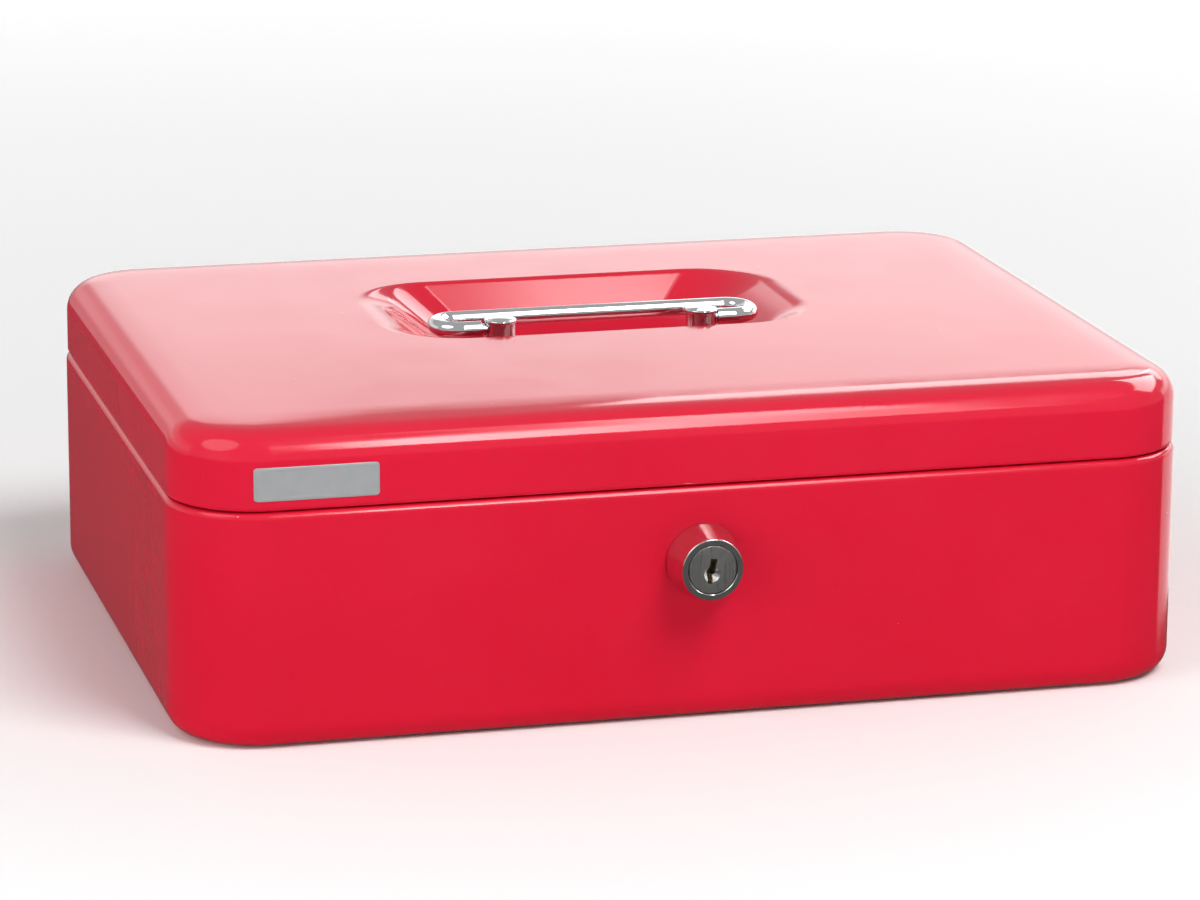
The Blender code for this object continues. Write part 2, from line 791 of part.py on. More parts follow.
def row_block(name, row):
    """The outside of a row of compartments, hanging from the tray's lip."""
    half = WELL_HALF_LENGTH + TRAY_WALL
    front, back = row
    low = (-half, front - TRAY_WALL, TRAY_BOTTOM)
    return rounded_box(name, low, (half, back + TRAY_WALL, TRAY_TOP - 0.0005), 0.006)


def make_tray():
    rings = [ring(*TRAY_HALF, TRAY_CORNER, height) for height in (TRAY_TOP - TRAY_LIP, TRAY_TOP)]
    tray = skin("coin_tray", rings, BLACK_PLASTIC, first=True, last=True)
    join(tray, row_block("coin_block", COIN_ROW), row_block("note_block", NOTE_ROW))
    left, right, back = LOCK_ROOM
    room = box("lock_room", (left, -HALF_DEPTH, TRAY_BOTTOM - 0.01), (right, back, TRAY_TOP + 0.01))
    cut(tray, *row_wells(5, COIN_ROW, "coin"), *row_wells(3, NOTE_ROW, "note"), room)
    return tray


def make_ledge(side, name):
    wall = HALF_LENGTH - SHEET - GAP
    top = TRAY_TOP - TRAY_LIP - GAP
    outline = [
        (wall, top),
        (LEDGE_INNER, top),
        (LEDGE_INNER, top - SHEET),
        (wall - SHEET, top - SHEET),
        (wall - SHEET, top - LEDGE_DROP),
        (wall, top - LEDGE_DROP),
    ]
    outline = [(side * x, z) for x, z in outline]
    ledge = flat_piece(f"tray_ledge_{name}", outline, 2 * LEDGE_HALF_LENGTH, RED_PAINT)
    place([ledge], (0, 0, 0), (90, 0, 0))
    return ledge


def main():
    sides = ((-1, "left"), (1, "right"))
    make_body_shell()
    lid_parts = [make_lid_shell(), make_keeper()]
    for side, name in sides:
        lid_parts += [make_post(side, name), make_lid_leaf(side, name)]
        lid_parts += make_post_fixings(side, name)
        make_body_leaf(side, name)
        make_hinge_pin(side, name)
        make_ledge(side, name)
    bail = make_bail()
    make_lock_housing()
    make_lock_fixings()
    turning = [make_lock_plug(), make_cam(), make_cam_screw()]
    turning += [make_wafer(index) for index in range(WAFER_COUNT)]
    tray = make_tray()
    bind_nut_bores()
    pivot("lid_pivot", (0, AXIS_Y, AXIS_Z), lid_parts + [bail])
    pivot("lock_axis", (0, -HALF_DEPTH, LOCK_Z), turning)
    pivot("tray_lift", (0, 0, TRAY_TOP), [tray])


main()
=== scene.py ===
import json
import math

import bmesh
import bpy
from mathutils import Matrix, Vector


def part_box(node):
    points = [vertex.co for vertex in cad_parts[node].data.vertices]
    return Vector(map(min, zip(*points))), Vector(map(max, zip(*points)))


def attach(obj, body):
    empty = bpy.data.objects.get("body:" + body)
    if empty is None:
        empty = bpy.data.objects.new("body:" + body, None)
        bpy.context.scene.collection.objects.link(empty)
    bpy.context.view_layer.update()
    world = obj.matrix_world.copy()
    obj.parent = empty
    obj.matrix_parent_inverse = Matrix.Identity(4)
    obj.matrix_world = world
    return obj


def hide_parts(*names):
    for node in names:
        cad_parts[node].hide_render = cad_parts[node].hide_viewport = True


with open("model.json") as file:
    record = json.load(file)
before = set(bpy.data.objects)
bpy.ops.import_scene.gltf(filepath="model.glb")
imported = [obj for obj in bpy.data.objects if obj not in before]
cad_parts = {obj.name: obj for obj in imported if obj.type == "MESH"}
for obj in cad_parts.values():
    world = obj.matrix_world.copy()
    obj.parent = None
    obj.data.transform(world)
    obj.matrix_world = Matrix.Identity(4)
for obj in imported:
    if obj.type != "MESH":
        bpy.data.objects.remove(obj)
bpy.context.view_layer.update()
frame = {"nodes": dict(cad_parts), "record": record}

# Metres, +Z up, the lock faces -Y. The shell's sections are the solid model's, drawn finer.
BODY_LOW, BODY_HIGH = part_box("body_shell")
LID_LOW, LID_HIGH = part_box("lid_shell")
HALF_LENGTH = BODY_HIGH.x
HALF_DEPTH = -BODY_LOW.y
HEIGHT = LID_HIGH.z
CORNER_RADIUS = 0.026
SHEET = 0.001
CORNER_STEPS = 24

FOOT_RADIUS = 0.007
SHOULDER_TOP = 0.0689
SHOULDER_RADIUS = 0.002
THROAT_RADIUS = 0.0008
FLANGE_INSET = 0.0036
FLANGE_TOP = 0.075

LID_INSET = 0.00045
CURL_RADIUS = 0.0014
CURL_LEG = 0.0006
CURL_FOOT = 0.0692
# The top edge as arcs that grow flatter: radius, tilt of the surface's normal at the end, steps.
LID_EDGE = ((0.0089, 83, 20), (0.065, 89, 8), (0.500, 90, 6))

RECESS_RIM = (0.068, 0.039, 0.024, 0.026)
RECESS_FLOOR = (0.0405, 0.02975, 0.02025, 0.012)
RECESS_DEPTH = 0.012
RIM_BLEND = 0.14
END_BLEND = 0.55
FLOOR_BLEND = 0.25

JOINTS = {joint["name"]: joint for joint in frame["record"]["behaviour"]["joints"]}
BAIL_AT = Vector(JOINTS["handle_pivot"]["pos_m"])
LOCK_AT = Vector(JOINTS["lock_turn"]["pos_m"])

HINGE_X = 0.085
NOTCH_HALF_WIDTH = 0.0172
# Each shell's notch for a hinge: its inner face, its foot and its top.
BODY_NOTCH = (0.10975, 0.0655, 0.0705)
LID_NOTCH = (0.1085, 0.0680, 0.0732)

BAIL_SHIFT = -0.0005
BAIL_PLAY = 0.0008
WIRE_RADIUS = 0.0025
BAIL_HALF_WIDTH = 0.0490
BAIL_REACH = 0.0143
BAIL_BEND = 0.0069
POST_X = 0.0314
POST_RADIUS = 0.0046
POST_TOP = 0.095
CAP_RADIUS = 0.0049
SHANK_RADIUS = 0.0020
SHANK_END = 0.0740
PIN_RADIUS = 0.0016
PIN_LENGTH = 0.0040
CAP_HEIGHT = 0.0012
CAP_CROWN = 0.0003
CAP_EDGE = 0.0004
GAP = 0.0003

LOCK_REACH = 0.0105
BEZEL_RADIUS = 0.0110
FACE_RADIUS = 0.0090
BARREL_RADIUS = 0.0084
BARREL_END = 0.1046
PLUG_HEAD_RADIUS = 0.0070
PLUG_HEAD_DEPTH = 0.0022
PLUG_RADIUS = 0.0060
PLUG_PLAY = 0.00025
TAIL_HALF = 0.0030
CAM_BACK = 0.1019
WAFER_SIZE = (0.0050, 0.0110, 0.0008)
WAFER_PITCH = 0.0022
WAFER_COUNT = 5

TRAY_HALF = (0.142, 0.1044)
TRAY_CORNER = 0.018
TRAY_TOP = 0.0603
TRAY_LIP = 0.0020
TRAY_BOTTOM = 0.0360
TRAY_WALL = 0.0015
WELL_HALF_LENGTH = 0.132
WELL_DIVIDER = 0.003
COIN_ROW = (-0.0980, -0.0220)
NOTE_ROW = (-0.0140, 0.0960)
LOCK_ROOM = (-0.012, 0.026, -0.0970)


# Shapes.


def link(obj):
    bpy.context.scene.collection.objects.link(obj)
    return obj


def from_bmesh(name, shape):
    mesh = bpy.data.meshes.new(name)
    shape.to_mesh(mesh)
    shape.free()
    return link(bpy.data.objects.new(name, mesh))


def box(name, low, high):
    shape = bmesh.new()
    bmesh.ops.create_cube(shape, size=1.0)
    bmesh.ops.scale(shape, vec=Vector(high) - Vector(low), verts=shape.verts)
    bmesh.ops.translate(shape, vec=(Vector(high) + Vector(low)) / 2, verts=shape.verts)
    return from_bmesh(name, shape)


def cylinder(name, radius, low, high, sides=48, end_radius=None):
    shape = bmesh.new()
    top = radius if end_radius is None else end_radius
    bmesh.ops.create_cone(
        shape, cap_ends=True, segments=sides, radius1=radius, radius2=top, depth=high - low
    )
    bmesh.ops.translate(shape, vec=(0, 0, (low + high) / 2), verts=shape.verts)
    return from_bmesh(name, shape)


def turned(name, profile, sides=96, closed=False):
    """A profile of (radius, height) points, running down its outer side, turned about Z."""
    mesh = bpy.data.meshes.new(name)
    edges = [(i, i + 1) for i in range(len(profile) - 1)]
    if closed:
        edges.append((len(profile) - 1, 0))
    mesh.from_pydata([(r, 0, z) for r, z in profile], edges, [])
    obj = link(bpy.data.objects.new(name, mesh))
    screw = obj.modifiers.new("Turn", "SCREW")
    screw.steps = sides
    screw.render_steps = sides
    screw.use_merge_vertices = True
    screw.merge_threshold = 0.00001
    return obj


def prism(name, outline, low, high):
    """A closed outline in local XY, anticlockwise, from low to high along Z."""
    shape = bmesh.new()
    loops = [[shape.verts.new((x, y, z)) for x, y in outline] for z in (low, high)]
    for i in range(len(outline)):
        j = (i + 1) % len(outline)
        shape.faces.new((loops[0][i], loops[0][j], loops[1][j], loops[1][i]))
    shape.faces.new(loops[0][::-1])
    shape.faces.new(loops[1])
    return from_bmesh(name, shape)


def tube(name, points, radius):
    """A round wire along the points, with closed ends."""
    curve = bpy.data.curves.new(name, "CURVE")
    curve.dimensions = "3D"
    curve.bevel_depth = radius
    curve.bevel_resolution = 12
    curve.use_fill_caps = True
    spline = curve.splines.new("POLY")
    spline.points.add(len(points) - 1)
    for point, at in zip(spline.points, points):
        point.co = (*at, 1)
    guide = link(bpy.data.objects.new(name + "_guide", curve))
    graph = bpy.context.evaluated_depsgraph_get()
    mesh = bpy.data.meshes.new_from_object(guide.evaluated_get(graph))
    bpy.data.objects.remove(guide)
    shape = bmesh.new()
    shape.from_mesh(mesh)
    bmesh.ops.remove_doubles(shape, verts=shape.verts, dist=0.000001)
    bmesh.ops.recalc_face_normals(shape, faces=shape.faces)
    return from_bmesh(name, shape)


def arc(centre, radius, start, end, steps):
    """Points on an arc, angles in degrees."""
    points = []
    for step in range(steps + 1):
        angle = math.radians(start + (end - start) * step / steps)
        points.append((centre[0] + radius * math.cos(angle), centre[1] + radius * math.sin(angle)))
    return points


def ring(half_x, half_y, radius, height, middle_y=0.0):
    """A rounded rectangle, anticlockwise from above."""
    points = []
    for quarter, (side_x, side_y) in enumerate(((1, -1), (1, 1), (-1, 1), (-1, -1))):
        centre = (side_x * (half_x - radius), middle_y + side_y * (half_y - radius))
        start = 90 * quarter - 90
        points += [(x, y, height) for x, y in arc(centre, radius, start, start + 90, CORNER_STEPS)]
    return points


def shell_rings(profile):
    """Rings of the shell's plan, each moved in from the body's wall by its inset."""
    rings = []
    for inset, height in profile:
        rings.append(ring(HALF_LENGTH - inset, HALF_DEPTH - inset, CORNER_RADIUS - inset, height))
    return rings


def skin(name, rings, first=False, last=False):
    """A surface through the rings, closed over the first or the last where asked."""
    shape = bmesh.new()
    loops = [[shape.verts.new(point) for point in points] for points in rings]
    for lower, upper in zip(loops, loops[1:]):
        for i in range(len(lower)):
            j = (i + 1) % len(lower)
            shape.faces.new((lower[i], lower[j], upper[j], upper[i]))
    if first:
        shape.faces.new(loops[0][::-1])
    if last:
        shape.faces.new(loops[-1])
    return from_bmesh(name, shape)


def combine(obj, other, operation="DIFFERENCE"):
    step = obj.modifiers.new(other.name, "BOOLEAN")
    step.operation = operation
    step.solver = "EXACT"
    step.object = other


def cut(obj, *cutters):
    for cutter in cutters:
        combine(obj, cutter)


def join(obj, *others):
    for other in others:
        combine(obj, other, "UNION")


def place(objects, location, rotation=(0, 0, 0)):
    for obj in objects:
        obj.location = location
        obj.rotation_euler = [math.radians(angle) for angle in rotation]


def edge_bevel(obj, width, angle=50, segments=2):
    bevel = obj.modifiers.new("Edges", "BEVEL")
    bevel.width = width
    bevel.segments = segments
    bevel.limit_method = "ANGLE"
    bevel.angle_limit = math.radians(angle)
    bevel.use_clamp_overlap = True


def finish_piece(obj, body, node, paint, bevel=0.0, sharp=34, helpers=()):
    """Rounds the sharp edges, applies the modifiers, shades, paints, and takes the node's place."""
    if bevel:
        edge_bevel(obj, bevel)
    graph = bpy.context.evaluated_depsgraph_get()
    obj.data = bpy.data.meshes.new_from_object(obj.evaluated_get(graph))
    obj.modifiers.clear()
    obj.data.shade_smooth()
    obj.data.set_sharp_from_angle(angle=math.radians(sharp))
    even = obj.modifiers.new("Even shading", "WEIGHTED_NORMAL")
    even.keep_sharp = True
    obj.data.materials.clear()
    obj.data.materials.append(paint)
    for helper in helpers:
        bpy.data.objects.remove(helper)
    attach(obj, body)
    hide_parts(node)


# Materials.


class Nodes:
    """Short calls for building a material's node tree."""

    def __init__(self, name):
        self.material = bpy.data.materials.new(name)
        self.material.use_nodes = True
        self.tree = self.material.node_tree
        self.shader = self.tree.nodes["Principled BSDF"]
        self.coords = self.tree.nodes.new("ShaderNodeTexCoord").outputs["Object"]

    def new(self, kind, **settings):
        node = self.tree.nodes.new(kind)
        for key, value in settings.items():
            setattr(node, key, value)
        return node

    def link(self, source, target):
        self.tree.links.new(source, target)

    def set(self, **values):
        for key, value in values.items():
            self.shader.inputs[key.replace("_", " ")].default_value = value

    def stretched(self, scale):
        """The coordinates scaled along each axis."""
        node = self.new("ShaderNodeMapping")
        node.inputs["Scale"].default_value = scale
        self.link(self.coords, node.inputs["Vector"])
        return node.outputs["Vector"]

    def noise(self, scale, detail=2.0, roughness=0.5, coords=None):
        node = self.new("ShaderNodeTexNoise")
        node.inputs["Scale"].default_value = scale
        node.inputs["Detail"].default_value = detail
        node.inputs["Roughness"].default_value = roughness
        self.link(coords or self.coords, node.inputs["Vector"])
        return node.outputs["Fac"]

    def cells(self, scale, output="Distance"):
        node = self.new("ShaderNodeTexVoronoi")
        node.inputs["Scale"].default_value = scale
        self.link(self.coords, node.inputs["Vector"])
        return node.outputs[output]

    def ranged(self, source, low, high, to_low, to_high):
        node = self.new("ShaderNodeMapRange")
        for key, value in (("From Min", low), ("From Max", high), ("To Min", to_low), ("To Max", to_high)):
            node.inputs[key].default_value = value
        self.link(source, node.inputs["Value"])
        return node.outputs["Result"]

    def mixed(self, share, first, second):
        """A colour between two, each a colour or a socket."""
        node = self.new("ShaderNodeMix", data_type="RGBA")
        self.link(share, node.inputs["Factor"])
        for socket, value in ((node.inputs[6], first), (node.inputs[7], second)):
            if isinstance(value, tuple):
                socket.default_value = (*value, 1.0)
            else:
                self.link(value, socket)
        return node.outputs[2]

    def bumps(self, *layers):
        """Chains (height, distance) layers into the shader's normal."""
        normal = None
        for height, distance in layers:
            node = self.new("ShaderNodeBump")
            node.inputs["Strength"].default_value = 1.0
            node.inputs["Distance"].default_value = distance
            self.link(height, node.inputs["Height"])
            if normal:
                self.link(normal, node.inputs["Normal"])
            normal = node.outputs["Normal"]
        self.link(normal, self.shader.inputs["Normal"])


def make_enamel(name, deep, bright):
    """Gloss stove enamel: orange peel, slow waviness in the sheet, faint dust and rubbing."""
    m = Nodes(name)
    m.set(Metallic=0.0, IOR=1.5, Specular_IOR_Level=0.5)
    tone = m.mixed(m.ranged(m.noise(14, 3), 0.35, 0.65, 0.0, 1.0), deep, bright)
    specks = m.ranged(m.cells(260), 0.035, 0.05, 1.0, 0.0)
    rare = m.ranged(m.noise(70, 1), 0.66, 0.70, 0.0, 1.0)
    both = m.new("ShaderNodeMath", operation="MULTIPLY")
    m.link(specks, both.inputs[0])
    m.link(rare, both.inputs[1])
    dusty = m.mixed(both.outputs[0], tone, (0.80, 0.55, 0.52))
    m.link(dusty, m.shader.inputs["Base Color"])
    m.link(m.ranged(m.noise(45, 4), 0.3, 0.7, 0.07, 0.13), m.shader.inputs["Roughness"])
    m.bumps((m.noise(26, 2), 0.00004), (m.noise(350, 1), 0.000006), (m.noise(900, 2), 0.0000035))
    return m.material


def make_chrome(name):
    """Bright chrome plate, barely uneven."""
    m = Nodes(name)
    m.set(Metallic=1.0)
    m.link(m.mixed(m.noise(180, 3), (0.70, 0.71, 0.73), (0.82, 0.82, 0.83)), m.shader.inputs["Base Color"])
    m.link(m.ranged(m.noise(400, 4), 0.35, 0.7, 0.03, 0.07), m.shader.inputs["Roughness"])
    m.bumps((m.noise(300, 2), 0.0000012))
    return m.material


def make_brushed(name, dark, light, rough, stretch, depth):
    """Turned or brushed metal, its fine lines along the axis with the small scale."""
    m = Nodes(name)
    m.set(Metallic=1.0)
    lines = m.noise(1.0, 3, 0.6, m.stretched(stretch))
    share = m.ranged(m.noise(500, 4), 0.3, 0.7, 0.0, 1.0)
    m.link(m.mixed(share, dark, light), m.shader.inputs["Base Color"])
    m.link(m.ranged(lines, 0.3, 0.7, rough - 0.06, rough + 0.08), m.shader.inputs["Roughness"])
    m.bumps((lines, depth), (m.noise(700, 2), 0.000004))
    return m.material


def make_zinc(name):
    """Bright zinc plate with its faint spangle and a dull bloom."""
    m = Nodes(name)
    m.set(Metallic=1.0)
    grain = m.cells(900, output="Color")
    grey = m.new("ShaderNodeRGBToBW")
    m.link(grain, grey.inputs["Color"])
    share = m.ranged(grey.outputs["Val"], 0.2, 0.8, 0.0, 1.0)
    tone = m.mixed(share, (0.46, 0.47, 0.50), (0.62, 0.62, 0.62))
    bloom = m.mixed(m.ranged(m.noise(90, 4), 0.45, 0.75, 0.0, 0.6), tone, (0.66, 0.62, 0.50))
    m.link(bloom, m.shader.inputs["Base Color"])
    m.link(m.ranged(m.noise(240, 4), 0.3, 0.7, 0.30, 0.48), m.shader.inputs["Roughness"])
    m.bumps((m.noise(420, 3), 0.000012))
    return m.material


def make_plastic(name):
    """Black moulded polystyrene with a fine spark-eroded grain."""
    m = Nodes(name)
    m.set(Metallic=0.0, Specular_IOR_Level=0.5)
    share = m.ranged(m.noise(40, 4), 0.4, 0.7, 0.0, 1.0)
    tone = m.mixed(share, (0.016, 0.016, 0.018), (0.028, 0.027, 0.027))
    m.link(tone, m.shader.inputs["Base Color"])
    m.link(m.ranged(m.noise(160, 4), 0.3, 0.7, 0.34, 0.52), m.shader.inputs["Roughness"])
    m.bumps((m.noise(1800, 2), 0.000020), (m.noise(60, 2), 0.00003))
    return m.material


def make_foil(name):
    """Silver printing foil, blank."""
    m = Nodes(name)
    m.set(Metallic=0.35)
    tone = m.mixed(m.noise(300, 4), (0.42, 0.44, 0.45), (0.50, 0.51, 0.52))
    m.link(tone, m.shader.inputs["Base Color"])
    m.link(m.ranged(m.noise(900, 3), 0.3, 0.7, 0.38, 0.50), m.shader.inputs["Roughness"])
    m.bumps((m.noise(1400, 2), 0.000005))
    return m.material


RED_BODY = make_enamel("red_enamel_body", (0.66, 0.007, 0.031), (0.69, 0.009, 0.036))
RED_LID = make_enamel("red_enamel_lid", (0.67, 0.008, 0.034), (0.70, 0.010, 0.039))
CHROME = make_chrome("bright_chrome")
NICKEL_CASE = make_brushed(
    "nickel_case", (0.70, 0.69, 0.67), (0.80, 0.79, 0.77), 0.14, stretch=(900, 900, 60), depth=0.000003
)
NICKEL_PLUG = make_brushed(
    "nickel_plug", (0.68, 0.67, 0.65), (0.78, 0.77, 0.75), 0.30, stretch=(1500, 60, 1500), depth=0.000004
)
BRASS = make_brushed(
    "wafer_brass", (0.55, 0.38, 0.12), (0.72, 0.52, 0.20), 0.32, stretch=(80, 1200, 1200), depth=0.000004
)
ZINC = make_zinc("zinc_plate")
PLASTIC = make_plastic("black_plastic")
FOIL = make_foil("silver_foil")


# Steel shells.


def hinge_notch(name, side, sizes):
    """A cutter for the notch that a hinge sits in, in the back wall."""
    inner_y, low_z, high_z = sizes
    middle_x = side * HINGE_X
    low = (middle_x - NOTCH_HALF_WIDTH, inner_y, low_z)
    return box(name, low, (middle_x + NOTCH_HALF_WIDTH, HALF_DEPTH + 0.002, high_z))


def thicken(obj):
    """Gives the surface its sheet's thickness, inwards, and rounds the cut edges."""
    solid = obj.modifiers.new("Sheet", "SOLIDIFY")
    solid.thickness = SHEET
    solid.offset = -1
    solid.use_even_offset = True
    edge_bevel(obj, 0.00028, angle=60)


def make_body_shell():
    foot = arc((FOOT_RADIUS, FOOT_RADIUS), FOOT_RADIUS, 270, 180, 14)
    shoulder = arc((SHOULDER_RADIUS, SHOULDER_TOP - SHOULDER_RADIUS), SHOULDER_RADIUS, 180, 90, 10)
    throat_middle = (FLANGE_INSET - THROAT_RADIUS, SHOULDER_TOP + THROAT_RADIUS)
    throat = arc(throat_middle, THROAT_RADIUS, 270, 360, 6)
    profile = foot + shoulder + throat + [(FLANGE_INSET, FLANGE_TOP)]
    body = skin("body_pressing", shell_rings(profile), first=True)
    thicken(body)
    hole = cylinder("lock_hole", BARREL_RADIUS + GAP, HALF_DEPTH - 0.004, HALF_DEPTH + 0.004)
    place([hole], (0, 0, LOCK_AT.z), (90, 0, 0))
    notches = [hinge_notch("body_notch", side, BODY_NOTCH) for side in (-1, 1)]
    cut(body, hole, *notches)
    finish_piece(body, "body", "body_shell", RED_BODY, helpers=[hole, *notches])


def blend(share, start, end):
    """Rises from 0 to 1 with a straight middle, rounded off over the start and end shares."""
    slope = 1 / (1 - start / 2 - end / 2)
    if share < start:
        return slope * share**2 / (2 * start)
    if share > 1 - end:
        return 1 - slope * (1 - share) ** 2 / (2 * end)
    return slope * (share - start / 2)


def recess_ring(share):
    """The recess at this share of the way from its rim to its floor. Its rim is softer at the two ends."""
    size = [rim + (floor - rim) * share for rim, floor in zip(RECESS_RIM, RECESS_FLOOR)]
    half_x, half_y, middle_y, radius = size
    points = []
    for x, y, _ in ring(half_x, half_y, radius, HEIGHT, middle_y):
        turn = max(0.0, (abs(x) - half_x + radius) / radius)
        if half_y - abs(y - middle_y) > radius:
            turn = 1.0
        start = RIM_BLEND + (END_BLEND - RIM_BLEND) * turn**2
        points.append((x, y, HEIGHT - RECESS_DEPTH * blend(share, start, FLOOR_BLEND)))
    return points


def lid_edge():
    """The lid's soft top edge, from the top of its wall to the flat of its top."""
    tilt, rise = 0, 0
    for radius, end, _ in LID_EDGE:
        rise += radius * (math.sin(math.radians(end)) - math.sin(math.radians(tilt)))
        tilt = end
    points, tilt = [(LID_INSET, HEIGHT - rise)], 0
    for radius, end, steps in LID_EDGE:
        inset, height = points[-1]
        lean = math.radians(tilt)
        middle = (inset + radius * math.cos(lean), height - radius * math.sin(lean))
        points += arc(middle, radius, 180 - tilt, 180 - end, steps)[1:]
        tilt = end
    return points


def make_lid_shell():
    curl_middle = (LID_INSET + CURL_RADIUS, CURL_FOOT + CURL_RADIUS)
    curl = arc(curl_middle, CURL_RADIUS, 360, 180, 20)
    leg = (curl[0][0], curl[0][1] + CURL_LEG)
    rings = shell_rings([leg] + curl + lid_edge())
    rim_steps, slope_steps = 8, 40
    shares = [RIM_BLEND * step / rim_steps for step in range(rim_steps)]
    shares += [RIM_BLEND + (1 - RIM_BLEND) * step / slope_steps for step in range(slope_steps + 1)]
    lid = skin("lid_pressing", rings + [recess_ring(share) for share in shares], last=True)
    thicken(lid)
    cutters = []
    for side in (-1, 1):
        hole = cylinder("post_hole", SHANK_RADIUS + GAP, 0.070, 0.090, sides=32)
        place([hole], (BAIL_AT.x + side * POST_X, BAIL_AT.y, 0))
        cutters += [hole, hinge_notch("lid_notch", side, LID_NOTCH)]
    cut(lid, *cutters)
    finish_piece(lid, "lid", "lid_shell", RED_LID, helpers=cutters)


def make_label():
    """A blank foil label wrapped on the lid's front wall, towards its left corner."""
    length, height, corner, lift = 0.0355, 0.0096, 0.0010, 0.00012
    left, middle_z = -0.1290, 0.0771
    columns, rows = 120, 36
    radius = CORNER_RADIUS - LID_INSET
    bend_x = CORNER_RADIUS - HALF_LENGTH

    def wall_point(along, out):
        x = left + along
        if x >= bend_x:
            return x, LID_INSET - HALF_DEPTH - out
        angle = (bend_x - x) / radius
        reach = radius + out
        return bend_x - reach * math.sin(angle), radius + LID_INSET - HALF_DEPTH - reach * math.cos(angle)

    def border(along, up):
        edge = min(along, length - along, height / 2 - abs(up))
        return 0.00006 if 0.0006 < edge < 0.0010 else 0.0

    shape = bmesh.new()
    grid = []
    for row in range(rows + 1):
        up = height * (row / rows - 0.5)
        over = max(0.0, abs(up) - (height / 2 - corner))
        trim = corner - math.sqrt(max(0.0, corner**2 - over**2))
        line = []
        for column in range(columns + 1):
            along = trim + (length - 2 * trim) * column / columns
            x, y = wall_point(along, lift + border(along, up))
            line.append(shape.verts.new((x, y, middle_z + up)))
        grid.append(line)
    for lower, upper in zip(grid, grid[1:]):
        for i in range(columns):
            shape.faces.new((lower[i], lower[i + 1], upper[i + 1], upper[i]))
    label = from_bmesh("blank_label", shape)
    solid = label.modifiers.new("Film", "SOLIDIFY")
    solid.thickness = 0.00008
    solid.offset = -1
    label.data.materials.append(FOIL)
    label.data.shade_smooth()
    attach(label, "lid")


# Handle.


def make_bail():
    bend = BAIL_BEND
    start = POST_X + POST_RADIUS + BAIL_PLAY
    at = BAIL_AT + Vector((BAIL_SHIFT, 0, 0))
    front = arc((BAIL_HALF_WIDTH - bend, bend), bend, -90, 0, 20)
    back = arc((BAIL_HALF_WIDTH - bend, BAIL_REACH - bend), bend, 0, 90, 20)
    right = [(x, y, 0) for x, y in [(start, 0)] + front + back]
    left = [(-x, y, z) for x, y, z in reversed(right)]
    bail = tube("bail_wire", right + left, WIRE_RADIUS)
    place([bail], at)
    pins = []
    for side in (-1, 1):
        pin = cylinder("bail_pin", PIN_RADIUS, start - BAIL_PLAY - PIN_LENGTH, start + 0.001, sides=32)
        place([pin], at, (0, 90 * side, 0))
        pins.append(pin)
    join(bail, *pins)
    finish_piece(bail, "handle", "handle_bail", CHROME, bevel=0.00025, helpers=pins)


def make_post(side, name):
    floor = HEIGHT - RECESS_DEPTH + GAP
    cap_low = POST_TOP - CAP_HEIGHT
    crown = CAP_RADIUS - CAP_EDGE
    profile = [(crown * i / 8, POST_TOP - CAP_CROWN * (i / 8) ** 2) for i in range(8)]
    profile += arc((crown, POST_TOP - 0.00065), CAP_EDGE, 78, 0, 6)
    profile += [
        (CAP_RADIUS, cap_low + 0.0002),
        (CAP_RADIUS - 0.0001, cap_low),
        (POST_RADIUS, cap_low - 0.0002),
        (POST_RADIUS, floor + 0.0002),
        (POST_RADIUS - 0.0002, floor),
        (SHANK_RADIUS, floor),
        (SHANK_RADIUS, SHANK_END + 0.0003),
        (SHANK_RADIUS - 0.0003, SHANK_END),
        (0, SHANK_END),
    ]
    post = turned(f"post_{name}", profile, sides=72)
    place([post], (BAIL_AT.x + side * POST_X, BAIL_AT.y, 0))
    low = POST_X + POST_RADIUS - PIN_LENGTH - BAIL_PLAY
    hole = cylinder("pivot_hole", PIN_RADIUS + GAP, low, POST_X + 0.006, sides=32)
    place([hole], BAIL_AT, (0, 90 * side, 0))
    cut(post, hole)
    finish_piece(post, "lid", f"handle_post_{name}", CHROME, helpers=[hole])


# Cam lock, made with local Z pointing out of the front wall.


def lock_place(*objects):
    place(objects, (0, 0, LOCK_AT.z), (90, 0, 0))


def make_lock_case():
    wall = HALF_DEPTH + GAP
    face = HALF_DEPTH + LOCK_REACH
    head_bore = PLUG_HEAD_RADIUS + PLUG_PLAY
    bore = PLUG_RADIUS + PLUG_PLAY
    shelf = face - PLUG_HEAD_DEPTH - GAP
    profile = [(head_bore, face - 0.00015), (head_bore + 0.00015, face)]
    profile += arc((FACE_RADIUS - 0.0004, face - 0.0004), 0.0004, 90, 12, 6)
    profile += arc((BEZEL_RADIUS - 0.0004, wall + 0.0010), 0.0004, 12, 0, 4)
    profile += [
        (BEZEL_RADIUS, wall + 0.0001),
        (BEZEL_RADIUS - 0.0001, wall),
        (BARREL_RADIUS, wall),
        (BARREL_RADIUS, BARREL_END + 0.0003),
        (BARREL_RADIUS - 0.0003, BARREL_END),
        (bore, BARREL_END),
        (bore, shelf),
        (head_bore, shelf),
    ]
    case = turned("lock_case", profile, sides=128, closed=True)
    lock_place(case)
    finish_piece(case, "body", "lock_housing", NICKEL_CASE, sharp=30)


# The keyway's outline on the plug's face: a slot with a step, for a ribbed key.
KEYWAY_OUTLINE = [
    (-0.00150, -0.00400),
    (-0.00010, -0.00410),
    (0.00015, -0.00190),
    (0.00095, -0.00120),
    (0.00085, 0.00080),
    (0.00135, 0.00310),
    (-0.00065, 0.00330),
    (-0.00080, 0.00150),
    (-0.00150, -0.00020),
]


